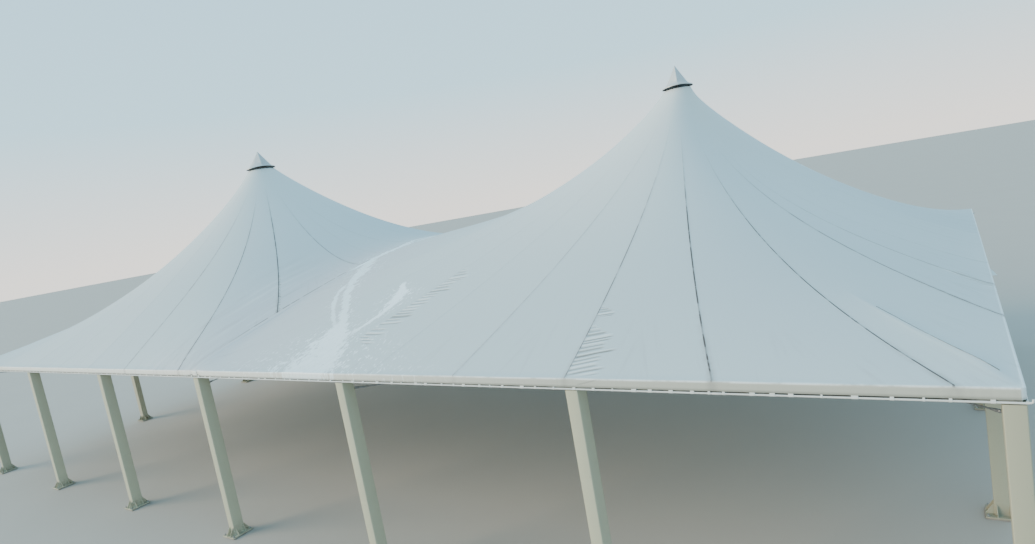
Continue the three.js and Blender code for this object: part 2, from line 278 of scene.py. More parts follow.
def setStops(node, stops):
    elements = node.color_ramp.elements
    while len(elements) < len(stops):
        elements.new(0.5)
    for element, (position, colour) in zip(elements, stops):
        element.position, element.color = position, (*colour, 1)


class Finish:
    # A material with one Principled shader; colour is what has been laid over its surface so far
    def __init__(self, name, colour):
        self.material = bpy.data.materials.new(name)
        self.material.use_nodes = True
        self.tree = self.material.node_tree
        self.tree.nodes.clear()
        output = self.tree.nodes.new("ShaderNodeOutputMaterial")
        self.shader = self.tree.nodes.new("ShaderNodeBsdfPrincipled")
        self.tree.links.new(self.shader.outputs[0], output.inputs["Surface"])
        self.colour = colour

    def put(self, node, values):
        # Links wires and sets plain values
        for key, value in values.items():
            if isinstance(value, Wire):
                self.tree.links.new(value.socket, node.inputs[key])
            else:
                isColour = node.inputs[key].type == "RGBA"
                node.inputs[key].default_value = (*value, 1) if isColour else value

    def wire(self, kind, settings, values, output=0):
        # Adds any node and returns its output
        node = self.tree.nodes.new("ShaderNode" + kind)
        for key, value in settings.items():
            if key == "stops":
                setStops(node, value)
            else:
                setattr(node, key, value)
        self.put(node, values)
        return Wire(self, node.outputs[output])

    def maths(self, operation, *terms):
        return self.wire("Math", {"operation": operation}, dict(enumerate(terms)))

    def coords(self):
        return self.wire("TexCoord", {}, {}, "Object")

    def mark(self, name, output="Fac"):
        return self.wire("Attribute", {"attribute_name": name}, {}, output)

    def blend(self, share, first, second):
        return self.wire("Mix", {"data_type": "RGBA"}, {0: share, 6: first, 7: second}, 2)

    def lay(self, share, colour):
        self.colour = self.blend(share, self.colour, colour)

    def done(self, values):
        self.put(self.shader, {"Base Color": self.colour, **values})
        return self.material


print("tools ready")


# Fabric surface: each cone falls from its ring to the eave as 1 - run^fullness, where run goes from 0
# at the peak to 1 at the outline and fullness depends on the direction, and the two cones and the
# saddle between them are joined as the root of their squares
coneShape = {
    "left": {
        "out": 0.403, "in": 0.703, "lean": 0.049, "cross": 0.237, "twist": -0.067, "corner": 0.82,
        "reach": 8.158,
    },
    "right": {
        "out": 0.382, "in": 0.728, "lean": 0.201, "cross": 0.247, "twist": 0.101, "corner": 0.283,
        "reach": 9.471,
    },
}
saddle = {"height": 2.151, "x": 2.625, "width": 7.874, "lean": 0.393}
fabric = {
    "thickness": 0.004, "edgeRadius": 0.03, "edgeDrop": 0.012, "cornerCut": 0.02, "valleyGap": 0.0008,
    "pastRing": 0.025, "lapOnRing": 0.03, "lapLift": 0.006, "ringReach": 0.4, "panelSag": 0.009,
    "hipRidge": 0.065, "hipWidth": 0.2, "hipTurn": 0.55, "hipRows": (0.62, 0.8), "hipEnd": (0.93, 1),
    "hipLines": (-0.025, -0.012, -0.0035, 0.0035, 0.012, 0.025), "sagReach": (1.5, 4.5), "rowSpread": 1.25,
    "roofRows": 84, "arcRows": 4, "bandRows": 3, "columnsPerPanel": 7, "besideSeam": 0.025, "lineGap": 0.004,
    "flap": 0.012, "cornerFlap": 0.1, "flapReach": 0.12,
}
# Seams about each peak: direction at the eave and turn on the way to the peak, both in degrees, and how
# dark the seam shows
seamAngles = {
    "left": [(-38, 2.9, 2), (-52, 2.5, 1.3), (-66.9, 2.8, 0.95), (-16.9, -1.7, 0.9), (8.7, -9.1, 0.4)],
    "right": [
        (-87.3, 0.7, 0.8), (-72, -3, 1.3), (-56.9, -0.5, 1.2), (-41.7, 6.7, 1.9), (-28.8, 4.1, 1.05),
        (-13, 0, 0.4), (-102.8, 1.9, 0.45), (-116.2, 0, 0.15), (-127.5, 0, 0.1),
    ],
}
seamPitch = 15


def coneHeight(side, x, y):
    # run^2 is 1 - (a + b - 1)^(-1 / corner), where a and b are (1 - share^2)^-corner for the shares of the
    # way from the peak to the outline along x and y
    peak, shape = peaks[side], coneShape[side]
    dx = (x - peak["x"]) * peak["sign"]
    reach = np.where(dx > 0, halfWide - abs(peak["x"]), shape["reach"])
    away = np.hypot(dx, y) + 1e-9
    outwards, backward = dx / away, y / away
    plain = shape["in"] + (shape["out"] - shape["in"]) * (0.5 + 0.5 * outwards)
    fullness = plain + backward * (shape["lean"] + shape["cross"] * backward + shape["twist"] * outwards)
    corner = shape["corner"]
    along, across = (
        np.maximum(1 - np.minimum(np.abs(share), 1) ** 2, 1e-9) ** -corner
        for share in (dx / reach, y / halfDeep)
    )
    run = np.sqrt(np.maximum(1 - (along + across - 1) ** (-1 / corner), 0))
    ringRun = (peak["ring"] + fabric["pastRing"]) / halfDeep
    share = (1 - run ** fullness) / (1 - ringRun ** fullness)
    return (peak["top"] - eaveTop) * np.clip(share, 0, 1)


def fabricHeight(x, y):
    # The saddle is a bell along x and a parabola across, and fades out towards both rings
    cones = [coneHeight(side, x, y) for side in peaks]
    fade = 1
    for cone, peak in zip(cones, peaks.values()):
        fade = fade * (1 - (cone / (peak["top"] - eaveTop)) ** 4)
    across = np.maximum(1 - (y / halfDeep) ** 2, 0) * (1 + saddle["lean"] * y / halfDeep)
    ridge = saddle["height"] * np.exp(-(((x - saddle["x"]) / saddle["width"]) ** 2)) * across * fade
    return np.sqrt(cones[0] ** 2 + cones[1] ** 2 + ridge ** 2)


def seamTable(side):
    # Rows of direction, turn and strength: the measured seams, and the rest of the round at an even pitch
    rows = list(seamAngles[side])
    known = [row[0] for row in rows]
    for k in range(1, 24):
        angle = wrapped(min(known) - k * seamPitch, 360)
        if min(abs(wrapped(angle - other, 360)) for other in known) > seamPitch * 0.62:
            rows.append((angle, 0, 0.2))
    table = np.array(sorted(rows))
    table[:, :2] = np.radians(table[:, :2])
    return table


def hipAngles(side):
    # Directions of the front and back hips, a little inside the outline's corners
    reach = peaks[side]["sign"] * halfWide - peaks[side]["x"]
    aside = math.radians(fabric["hipTurn"]) * peaks[side]["sign"]
    return [math.atan2(front * halfDeep, reach) - front * aside for front in (-1, 1)]


def eaveEnd(side, angle):
    # Where a line from the peak meets the outline set in by the edge radius, which way is out there, and
    # whether it is the valley
    peakX, inset = peaks[side]["x"], fabric["edgeRadius"]
    ends = sorted(peaks[side]["sign"] * end for end in (fabric["valleyGap"], halfWide - inset))
    c, s = np.cos(angle), np.sin(angle)
    toX = np.where(c > 0, ends[1] - peakX, ends[0] - peakX) / np.where(np.abs(c) < 1e-9, 1e-9, c)
    toY = (halfDeep - inset) / np.maximum(np.abs(s), 1e-9)
    byX = toX < toY
    out = joined(np.where(byX, np.sign(c), 0), np.where(byX, 0, np.sign(s)))
    return np.where(byX, toX, toY), out, byX & ((c > 0) == (side == "left"))


def fabricColumns(side):
    # Angles of the grid's lines: on each seam, beside it, evenly between, and at the outline's corners
    peakX, sign = peaks[side]["x"], peaks[side]["sign"]
    seams = seamTable(side)[:, 0]
    gaps = np.diff(np.append(seams, seams[0] + 2 * np.pi))
    beside = fabric["besideSeam"] / halfDeep
    shares = np.linspace(0, 1, fabric["columnsPerPanel"] + 2)[1:-1]
    angles = [seams, seams - beside, seams + beside] + [seams + gaps * share for share in shares]
    wide, deep, cut = halfWide - fabric["edgeRadius"], halfDeep - fabric["edgeRadius"], fabric["cornerCut"]
    hips = hipAngles(side)
    special = hips + [hips[0] + beyond for beyond in fabric["hipLines"]]
    for front in (-1, 1):
        special.append(math.atan2(front * deep, sign * (wide - cut) - peakX))
        special.append(math.atan2(front * (deep - cut), sign * wide - peakX))
        special.append(math.atan2(front * deep, -peakX) - 1e-6 * front * sign)
    merged, special = wrapped(np.concatenate(angles)), wrapped(np.array(special))
    near = np.abs(wrapped(merged[:, None] - special)).min(axis=1)
    onSeam = np.abs(merged[:, None] - wrapped(seams)).min(axis=1) < 1e-9
    return np.unique(np.round(np.concatenate([merged[(near > fabric["lineGap"]) | onSeam], special]), 8))


def fabricSheet(side, angles):
    # Points of the sheet for the given directions, and for each point its distance from the nearest seam,
    # from the eave and from the peak, with the panel's number and the seam's strength. Three rows lap onto
    # the ring, then come the roof, the rounded eave and the band; along the valley the last rows turn down
    # as a narrow flap
    peak = peaks[side]
    angles = np.asarray(angles, float)
    distance, out, isValley = eaveEnd(side, angles)
    start = peak["ring"] + fabric["pastRing"]
    share = np.linspace(0, 1, fabric["roofRows"])[:, None] ** fabric["rowSpread"]
    r = start + (distance - start) * share

    table = seamTable(side)
    turn = np.interp(angles, table[:, 0], table[:, 1], period=2 * np.pi)
    panel = (np.searchsorted(table[:, 0], angles, side="right") - 1) % len(table)
    low, high = table[panel], table[(panel + 1) % len(table)]
    fromLow = (angles - low[:, 0]) % (2 * np.pi) + (turn - low[:, 1]) * (1 - share)
    toHigh = (high[:, 0] - angles) % (2 * np.pi) + (high[:, 1] - turn) * (1 - share)
    turned = angles + turn * (1 - share)
    x, y = peak["x"] + r * np.cos(turned), r * np.sin(turned)
    across = np.clip(fromLow / (fromLow + toHigh), 0, 1)
    sag = fabric["panelSag"] * np.minimum(r * (fromLow + toHigh) / 2, 1) * smooth(r, *fabric["sagReach"])
    z = eaveTop + fabricHeight(x, y) - sag * 4 * across * (1 - across)
    # The sheet leaves the ring level with its top all round: what is missing there fades out down the cone
    z = z + (peak["top"] - z[0]) * np.exp(-(r - start) / fabric["ringReach"])
    # The front hip is a sharp ridge: a height that halves every few hand widths to either side
    aside = r * np.abs(wrapped(turned - hipAngles(side)[0]))
    lower = smooth(share, *fabric["hipRows"]) * (1 - smooth(share, *fabric["hipEnd"]))
    z = z + fabric["hipRidge"] * np.exp(-aside / fabric["hipWidth"]) * lower

    c, s = np.cos(turned[0]), np.sin(turned[0])
    lap, lift = start - fabric["lapOnRing"], fabric["lapLift"]
    first = [
        joined(peak["x"] + inward * c, inward * s, peak["top"] + above)
        for inward, above in ((lap - 0.03, lift), (lap, lift), (start - 0.012, lift - 0.002))
    ]
    roof = joined(x, y, z)
    ends, endZ = roof[-1], roof[-1, :, 2]
    lip = eaveTop - fabric["edgeDrop"]
    # The rows past the eave: share of the way out, height, and share of the valley's flap
    past = []
    for bent in np.arange(1, fabric["arcRows"] + 1) / fabric["arcRows"]:
        turn = bent * quarter
        past.append((math.sin(turn), endZ + (lip - endZ) * (1 - math.cos(turn)), bent / 2))
    for down in np.arange(1, fabric["bandRows"] + 1) / fabric["bandRows"]:
        past.append((1, lip + (plan["bandBottom"] - lip) * down, 0.5 + down / 2))
    fromCorner = np.clip(halfDeep - np.abs(ends[:, 1]), 0, None)
    flap = fabric["flap"] + fabric["cornerFlap"] * np.exp(-fromCorner / fabric["flapReach"])
    away = out * fabric["edgeRadius"] * ~isValley[:, None]
    edge = [
        np.column_stack([ends[:, :2] + away * outward, np.where(isValley, endZ - flap * flapShare, height)])
        for outward, height, flapShare in past
    ]
    points = np.concatenate([first, roof, edge])
    strength = np.where(fromLow < toHigh, low[:, 2], high[:, 2])
    marks = [r * np.minimum(fromLow, toHigh), r[-1:] - r, r, panel + 0 * r, strength]
    pick = np.clip(np.arange(len(points)) - len(first), 0, len(r) - 1)
    return points, [mark[pick] for mark in marks]


# White wash marks beside the valley, each a line of (y, x, half width, strength)
washLines = {
    "long": [
        (1.15, -0.61, 0.10, 0.7), (-0.6, -0.03, 0.17, 1), (-1.67, -0.02, 0.20, 1), (-3.15, 0.90, 0.33, 0.9),
        (-4.23, 1.55, 0.21, 0.9), (-5.02, 2.17, 0.16, 0.9), (-6.06, 3.26, 0.15, 0.85), (-6.86, 3.99, 0.19, 0.8),
        (-7.3, 4.27, 0.43, 0.9), (-7.68, 4.45, 0.63, 0.88), (-8.12, 4.64, 0.75, 0.85), (-8.51, 4.5, 1.01, 0.8),
    ],
    "short": [
        (-5.2, 4.74, 0.03, 0), (-5.37, 4.84, 0.10, 1), (-5.89, 5.19, 0.23, 1), (-6.25, 5.30, 0.22, 1),
        (-6.65, 5.31, 0.10, 0.9), (-6.9, 5.19, 0.09, 0.9), (-7.15, 5.07, 0.08, 0.8), (-7.33, 4.96, 0.11, 0.7),
        (-7.6, 4.9, 0.03, 0),
    ],
    "thin": [
        (-4.2, 1.3, 0.02, 0), (-4.45, 1.42, 0.09, 0.8), (-5.02, 1.72, 0.08, 0.8), (-5.61, 2.24, 0.11, 0.8),
        (-6.18, 2.86, 0.09, 0.7), (-6.68, 3.43, 0.08, 0.6), (-7.1, 3.98, 0.09, 0.5), (-7.4, 4.2, 0.02, 0),
    ],
}
washRange = {"y": (1.5, -8.7), "x": (-1, 7), "wide": 1.2}


def addWash(place):
    # Each line is a colour ramp over y: red holds the line's x, green its half width, blue its strength
    x, y, _ = place.parts()
    (fromY, toY), (lowX, highX), widest = washRange["y"], washRange["x"], washRange["wide"]
    ragged = place.scaled(1, 0.6, 0.2).noise(4.5, 6, 0.75)
    fine = place.scaled(1, 0.7, 0.2).noise(13, 3, 0.6)
    total = 0
    for rows in washLines.values():
        stops = [
            ((fromY - at) / (fromY - toY), ((middle - lowX) / (highX - lowX), half / widest, strength))
            for at, middle, half, strength in rows
        ]
        ramp = place.finish.wire("ValToRGB", {"stops": stops}, {"Fac": (fromY - y) / (fromY - toY)})
        middle, half, strength = ramp.parts()
        aside = abs(x - lowX - middle * (highX - lowX)) / (half * widest)
        body = (1 - (aside + (ragged - 0.5) * 4.4).between(0.7, 1.1)) * strength
        spots = (1 - aside.between(1, 5)) * fine.between(0.57, 0.64) * strength * 0.8
        total = body.larger(spots).larger(total)
    return total * (0.78 + fine.between(0.3, 0.5) * 0.22)


# Small creases beside some seams: side, the zone's base line from and to (degrees, metres) about the peak,
# how far it reaches to the left of the way out and how that widens, the creases' skew, pitch and the strength
# of their painted shade
creaseZones = [
    ("right", (-87, 7.42), (-87.2, 8.68), 0.34, 0.26, 0.28, 0.105, 0.85),
    ("right", (-86.9, 6.9), (-87, 7.24), 0.25, 0.1, 0.25, 0.07, 0.75),
    ("right", (-127.3, 6.6), (-126.2, 9.45), 0.4, 0.03, 0.66, 0.13, 0.6),
    ("right", (-28.8, 6.33), (-30.8, 7.31), 0.3, 0, -2.9, 0.28, 0.6),
    ("left", (-36.95, 6.4), (-37.8, 9.3), 0.07, 0, 0.1, 0.12, 0.6),
]


def addCreases(place):
    # Waves across each base line, unevenly spaced and fading at the zone's edge; every crease is cut to its own
    # length.
    # Gives the height, the painted shade in the creases' hollows and the painted highlight on their crests
    height, dark, light = 0, 0, 0
    tilt = place.noise(1.4, 1) * 0.6
    for side, *ends, wide, widen, skew, pitch, shadeStrength in creaseZones:
        start, end = (
            np.array([peaks[side]["x"], 0, 0]) + np.append(metres * around(math.radians(turn)), 0)
            for turn, metres in ends
        )
        length = float(np.linalg.norm(end - start))
        ahead = (end - start) / length
        aside = np.array([-ahead[1], ahead[0], 0])
        u = place.dot(tuple(ahead)) - float(start @ ahead)
        v = place.dot(tuple(aside)) - float(start @ aside)
        even = (u + v * skew) / pitch
        phase = even + (even * 0.45).noise(1, 1) * 1.7 + tilt
        cut = (phase.whole() * 1.7).noise(1, 0)
        reach = v / ((wide + u * widen) * (cut * 2.2 - 0.2))
        inside = (1 - reach.between(0.75, 1.05)) * v.between(-0.03, 0.03)
        inside = inside * u.between(-0.06, 0.1) * (1 - u.between(length - 0.1, length))
        wave = (phase * (2 * math.pi)).sine()
        height = height + wave * inside
        dark = dark + wave.between(-0.4, -0.95) * inside * (cut * 2 - 0.15) * shadeStrength
        light = light + wave.between(0.1, 0.9) * inside * 0.6
    return height, dark, light


def fabricMaterial():
    # Tones from large to small, laid one over the other
    look = {
        "colour": (0.53, 0.59, 0.59), "lighter": (0.57, 0.625, 0.615), "cooler": (0.48, 0.55, 0.57),
        "clean": (0.66, 0.71, 0.70), "dirtAndShade": (0.29, 0.29, 0.265), "wash": (0.88, 0.98, 1),
        "band": (0.80, 0.80, 0.74), "bandRight": (0.45, 0.455, 0.40), "line": (0.07, 0.042, 0.03),
        "troughShade": (0.555, 0.56, 0.57), "streakLight": (0.68, 0.71, 0.71), "streakDark": (0.40, 0.41, 0.41),
        "edge": (0.84, 0.89, 0.89), "crease": (0.23, 0.225, 0.20), "creaseLight": (0.78, 0.83, 0.81),
    }
    finish = Finish("coated_fabric", look["colour"])
    place = finish.coords()
    x, y, z = place.parts()
    mark = finish.mark("fabricCoord", "Vector")
    seamGap, eaveGap, peakGap = mark.parts()
    panelTone, seamStrength, sealed = finish.mark("fabricTone", "Vector").parts()
    flat = place.scaled(1, 1, 0.4)
    mottle = flat.noise(4, 4, 0.6)
    broken = place.noise(2.3, 4, 0.65)
    finish.lay(flat.noise(0.35) * 0.5, look["lighter"])
    finish.lay(panelTone * peakGap.between(2, 5.5) * 0.5, look["cooler"])
    finish.lay((1 - peakGap.between(1, 7)) * 0.75, look["clean"])
    # Painted shade over the trough between the two cones
    finish.lay((1 - abs(x - 0.6).between(0.8, 4)) * y.between(2, -2) * 0.7, look["troughShade"])
    # Streaks along the left side of the valley, lighter and darker than the rest
    streaks = place.scaled(2.8, 0.26, 0).noise(1, 3, 0.6)
    beside = (1 - abs(x + 1.3).between(0.8, 2)) * y.between(-1.5, -4)
    finish.lay(streaks.between(0.5, 0.68) * beside * 0.5, look["streakLight"])
    finish.lay((1 - streaks.between(0.32, 0.46)) * beside * 0.45, look["streakDark"])
    # The band, darker towards the right; the fold over the eave is rubbed paler, and the ends' bands and
    # the roof's end edges are painted paler: painted light over faces that lie in shade
    onRoof = z.between(4.66, 4.69)
    finish.lay(1 - onRoof, finish.blend(x.between(-2, 14), look["band"], look["bandRight"]))
    fold = z.between(4.655, 4.668) * (1 - z.between(4.681, 4.69)) * broken.between(0.36, 0.56) * 0.55
    finish.lay(fold.larger((abs(x) + (1 - onRoof) * 0.016).between(17.176, 17.19) * 0.8), look["edge"])
    # One slanting pleat in the front band, drawn as a line of painted shade
    run = (x - 11.5) / 0.42
    pleat = 1 - abs(z - 4.583 - run.between(-0.1, 1.3) * 0.1).between(0.004, 0.018)
    pleat = pleat * run.between(0, 0.2) * (1 - run.between(0.8, 1)) * (1 - onRoof) * y.between(0, -1)
    finish.lay(pleat * 0.6, look["dirtAndShade"])
    wash = addWash(place).larger(sealed * mottle.between(0.36, 0.48))
    finish.lay(wash, look["wash"])
    # Dirt: a haze at each seam and one that gathers low down
    low = 1 - eaveGap.between(0, 2.2)
    streak = mark.scaled(9, 0.5, 0.5).noise(1)
    haze = (1 - seamGap.between(0.01, 0.11)) * (0.08 + low * 0.3) * peakGap.between(1, 4)
    haze = haze * mottle.between(0.3, 0.6) * seamStrength
    finish.lay(haze + low * streak.between(0.5, 0.75) * 0.2, look["dirtAndShade"])
    height, dark, light = addCreases(place)
    # Painted highlight on the creases' crests and painted shade in their hollows
    finish.lay(light, look["creaseLight"])
    finish.lay(dark, look["crease"])
    # The seam's own thin line, dirt along the lap's edge and partly its painted shadow, comes and goes, and is
    # lost near the peak; the valley's is only dashes of painted shadow
    line = (1 - (seamGap / (0.55 + seamStrength * 0.5)).between(0.006, 0.017)) * onRoof
    line = line * peakGap.between(1, 5.5)
    line = (line * seamStrength * (0.35 + 0.65 * broken.between(0.38, 0.55))).smaller(0.95)
    dashes = (1 - abs(x + 0.13).between(0.012, 0.03)) * broken.between(0.42, 0.5) * onRoof
    dashes = dashes * y.between(-8.3, -6) * y.between(-1.2, -2) * 0.8
    finish.lay(line.larger(dashes), look["line"])
    normal = place.noise(160, 2).bump(0.25, 0.0004, height.bump(1, 0.008))
    values = {"Roughness": 0.45 + mottle * 0.18, "Coat Weight": wash, "Coat Roughness": 0.3}
    return finish.done({**values, "Normal": normal})


fabricFinish = fabricMaterial()


def panelTones(side, panel):
    # Each panel's own shade, from 0 to 1
    return np.random.default_rng(4 if side == "left" else 9).random(64)[panel.astype(int)]


def thicken(made, offset):
    # The cloth's wall: inside the surface at -1, on both sides of it at 0
    wall = made.modifiers.new("cloth", "SOLIDIFY")
    wall.thickness, wall.offset = fabric["thickness"], offset
    return made


def makeFabric(side):
    # The sheet as a grid; its area is the sum of the grid's cells
    points, (seamGap, eaveGap, peakGap, panel, strength) = fabricSheet(side, fabricColumns(side))
    rows, columns = points.shape[:2]
    coords = joined(seamGap, eaveGap, peakGap).reshape(-1, 3)
    tones = joined(panelTones(side, panel), strength, 0).reshape(-1, 3)
    part = Part("fabric_" + side, fabricFinish)
    part.add((points, [gridFaces(rows, columns, flip=True)]), fabricCoord=coords, fabricTone=tones)
    made = thicken(part.build(50, ["membrane_" + side]), -1)
    corner = points[:-1, :-1]
    area = float(np.linalg.norm(np.cross(points[:-1, 1:] - corner, points[1:, :-1] - corner), axis=-1).sum())
    print(made.name, rows, "x", columns, "area", round(area, 1))
    return made, area


sheets = {sideName: makeFabric(sideName) for sideName in peaks}


# Welded seams: a narrow strip over each seam, from near the ring to the edge over the eave
seamStrip = {
    "halfWidth": 0.028, "top": 0.0012, "sunk": 0.003, "startRow": 14, "hipRow": 65, "hipStrength": 1.7,
}


def addStrip(part, side, angle, strength, rowFrom, rowTo):
    # The strip's middle line is the sheet's own line in that direction, and its flat profile lies on it
    half, top = seamStrip["halfWidth"], seamStrip["top"]
    points, (_, eaveGap, peakGap, panel, _) = fabricSheet(side, [angle - 0.002, angle, angle + 0.002])
    rows = slice(3 + rowFrom, 3 + rowTo)
    line, aside = points[rows, 1], points[rows, 2] - points[rows, 0]
    flank = np.array([[half, -seamStrip["sunk"]], [half, top * 0.5], [half - 0.004, top]])
    outline = np.vstack([flank, [[0, top]], flank[::-1] * [-1, 1]])
    surface, faces = sweep(line, outline=outline, aside=-aside)

    def each(values):
        return np.repeat(values, len(outline), axis=0)

    sideways = each(unit(aside))
    offset = ((surface[:-2] - each(line)) * sideways).sum(axis=1)
    width = each(np.minimum(1, peakGap[rows, 1] / 3 + 0.3))
    surface[:-2] -= (offset * (1 - width))[:, None] * sideways
    beside = panelTones(side, panel[rows])
    toHigh = np.clip(0.5 + offset / (2 * half), 0, 1)
    tone = each(beside[:, 0]) * (1 - toHigh) + each(beside[:, 2]) * toHigh
    coords = joined(np.abs(offset) * width, each(eaveGap[rows, 1]), each(peakGap[rows, 1]))
    part.add((surface, faces), fabricCoord=coords, fabricTone=joined(tone, strength, 0))


def makeSeams(side):
    # A strip on every seam, and on the right half one along the front hip
    part = Part("seams_" + side, fabricFinish)
    end = fabric["roofRows"] + fabric["arcRows"]
    for angle, _, strength in seamTable(side):
        addStrip(part, side, angle, strength, seamStrip["startRow"], end)
    if side == "right":
        addStrip(part, side, hipAngles(side)[0], seamStrip["hipStrength"], seamStrip["hipRow"], end - 6)
    return part.build(30)


seams = {side: makeSeams(side) for side in peaks}


# Cover strip over the joint of the two halves, folded down over the eave at both ends: it follows the
# fabric under it across its width as well, a little above it
valley = {
    "halfWidth": 0.075, "crown": 0.004, "edge": 0.002, "sunk": -0.012, "rows": 160, "tails": (4.625, 4.557),
    "sealedTo": -2.7,
}


def makeValley():
    radius, crown, edge, sunk = fabric["edgeRadius"], valley["crown"], valley["edge"], valley["sunk"]
    across = valley["halfWidth"] * np.array([-1.5, -1, -0.6, 0, 0.6, 1, 1.5])
    lift = np.array([sunk, edge, crown * 0.7, crown, crown * 0.7, edge, sunk])
    y = np.linspace(radius - halfDeep, halfDeep - radius, valley["rows"])[:, None]
    roof = joined(across, y, eaveTop + fabricHeight(across, y) + lift)
    tail = []
    for turn in np.linspace(0, quarter, 5)[1:]:
        high = eaveTop - fabric["edgeDrop"] * (1 - math.cos(turn)) + lift * math.cos(turn)
        tail.append(laid("x", across, halfDeep - radius + (radius + lift) * math.sin(turn), high))
    tail = np.array(tail + [laid("x", across, halfDeep + lift, height) for height in valley["tails"]])
    points = np.concatenate([tail[::-1] * [1, -1, 1], roof, tail])
    along = points[..., 1].ravel()
    coords = np.tile([0.5, 4, 9], (len(along), 1))
    sealed = smooth(along, valley["sealedTo"] - 0.3, valley["sealedTo"] + 0.3)
    part = Part("valley_cover", fabricFinish)
    surface = shell(points, points[[0, -1]].mean(axis=1))
    part.add(surface, fabricCoord=coords, fabricTone=joined(0.4, 0, sealed))
    return part.build(60)


makeValley()
print("fabric, seams and valley cover made")


# Steel, cloth and grout finishes
def paintMaterial(name, colour, shade, endDarkening=0, slotShade=0):
    # The last two numbers: how much darker the paint gets towards the tent's ends, and how much painted shade
    # blackens the faces behind the lacing gap
    finish = Finish(name, colour)
    place = finish.coords()
    x, y, z = place.parts()
    cloud = place.noise(1.1, 4)
    speck = place.noise(38, 2, 0.6)
    finish.lay(cloud * 0.6 + place.scaled(14, 14, 0.8).noise(1) * 0.3, shade)
    dust = (1 - z.between(0.03, 0.5)) * place.noise(7, 5, 0.65).between(0.38, 0.62)
    finish.lay(dust * 0.6, (0.30, 0.24, 0.17))
    if endDarkening:
        # Darker paint towards the tent's ends
        finish.lay(abs(x).between(13, 16.5) * endDarkening, tuple(value * 0.75 for value in shade))
    finish.lay(speck.between(0.7, 0.74) * cloud.between(0.5, 0.6) * 0.7, (0.16, 0.12, 0.09))
    if slotShade:
        # Painted shade, nearly black, on the outer faces just behind the gap between band and rail
        outer = (abs(x) - plan["beamFaceX"]).larger(abs(y) - plan["beamFaceY"])
        slotShadow = outer.between(-0.012, -0.004) * (1 - z.between(4.54, 4.56)) * slotShade
        uneven = place.noise(1.7, 4, 0.6).between(0.4, 0.56) * x.between(-2, 15)
        finish.lay(slotShadow * (0.3 + uneven * 0.7), (0.035, 0.033, 0.03))
    normal = speck.bump(0.15, 0.001, place.noise(3).bump(0.3, 0.002))
    return finish.done({"Roughness": 0.42 + cloud * 0.12 + dust * 0.25, "Normal": normal})


def zincMaterial(name, colour=(0.42, 0.44, 0.45), strand=False, metallic=0.85, rough=0.38):
    # Cells and clouds in two tones; strand adds the wave of the cable's wires
    finish = Finish(name, tuple(value * 0.6 for value in colour))
    place = finish.coords()
    spangle = finish.wire("TexVoronoi", {}, {"Vector": place, "Scale": 45}, "Distance")
    cloud = place.noise(4)
    finish.lay(spangle * 0.6 + cloud * 0.4, colour)
    values = {"Roughness": rough + cloud * 0.15, "Metallic": metallic}
    if strand:
        values["Normal"] = finish.mark("strand").sine().bump(1, 0.0015)
    return finish.done(values)


def clothMaterial(name, first, second, cloud, grain, rough, varied, bump):
    # Two shades by a cloud noise, and a grain noise in the roughness and the bump
    finish = Finish(name, first)
    place = finish.coords()
    fine = place.noise(*grain)
    finish.lay(place.noise(*cloud), second)
    return finish.done({"Roughness": rough + fine * varied if varied else rough, "Normal": fine.bump(*bump)})


def capMaterial():
    # Clouded sheet metal with faint upright streaks, one side painted darker and a rim and inside painted dark,
    # all painted shade
    finish = Finish("cap_sheet", (0.52, 0.55, 0.55))
    place = finish.coords()
    cloud = place.noise(2.5, 4)
    finish.lay(cloud, (0.60, 0.63, 0.62))
    finish.lay(place.scaled(30, 30, 5).noise(1).between(0.55, 0.75) * 0.35, (0.30, 0.32, 0.32))
    finish.lay(finish.mark("worn"), (0.33, 0.345, 0.355))
    finish.lay(finish.mark("rim").between(0.3, 0.7), (0.035, 0.036, 0.037))
    return finish.done({"Metallic": 0.15, "Roughness": 0.32 + cloud * 0.2, "Normal": cloud.bump(0.3, 0.01)})


columnPaint = paintMaterial("column_paint", (0.50, 0.49, 0.355), (0.425, 0.42, 0.31), endDarkening=0.55)
beamPaint = paintMaterial("beam_paint", (0.38, 0.38, 0.33), (0.31, 0.31, 0.28), slotShade=0.92)
railPaint = paintMaterial("rail_paint", (0.67, 0.68, 0.65), (0.55, 0.56, 0.54))
zinc = zincMaterial("galvanised_steel")
# The ring is coloured nearly black: painted shade, so that the gap under each cap shows dark
ringSteel = zincMaterial("ring_steel", (0.05, 0.052, 0.054), metallic=0.4, rough=0.6)
strandZinc = zincMaterial("stay_cable", (0.40, 0.41, 0.42), strand=True)
capFinish = capMaterial()
grout, hemFinish, lacingFinish = (clothMaterial(*look) for look in (
    ("grout", (0.20, 0.19, 0.17), (0.36, 0.34, 0.31), (60, 4, 0.7), (60, 4, 0.7), 0.9, 0, (0.5, 0.002)),
    ("hem_cloth", (0.44, 0.47, 0.46), (0.53, 0.56, 0.55), (9, 4), (9, 4), 0.5, 0.2, (0.4, 0.002)),
    ("lacing_strap", (0.60, 0.61, 0.58), (0.70, 0.71, 0.68), (2,), (120, 2), 0.55, 0.2, (0.4, 0.0006)),
))


# Stays: the lines from each mast's foot flange to the heads of four columns
stay = {
    "footHeight": 2.9, "columnHeight": 4.25, "flange": 0.17, "lug": 0.09, "lugSunk": 0.02, "lugWide": 0.02,
    "lugHigh": 0.11, "columns": {"left": (-3, 0), "right": (1, 3)}, "cable": 0.012, "fork": 0.026,
    "forkLength": 0.32, "tip": 0.05, "pin": 0.017, "pinHalf": 0.034, "pinInset": 0.045,
}


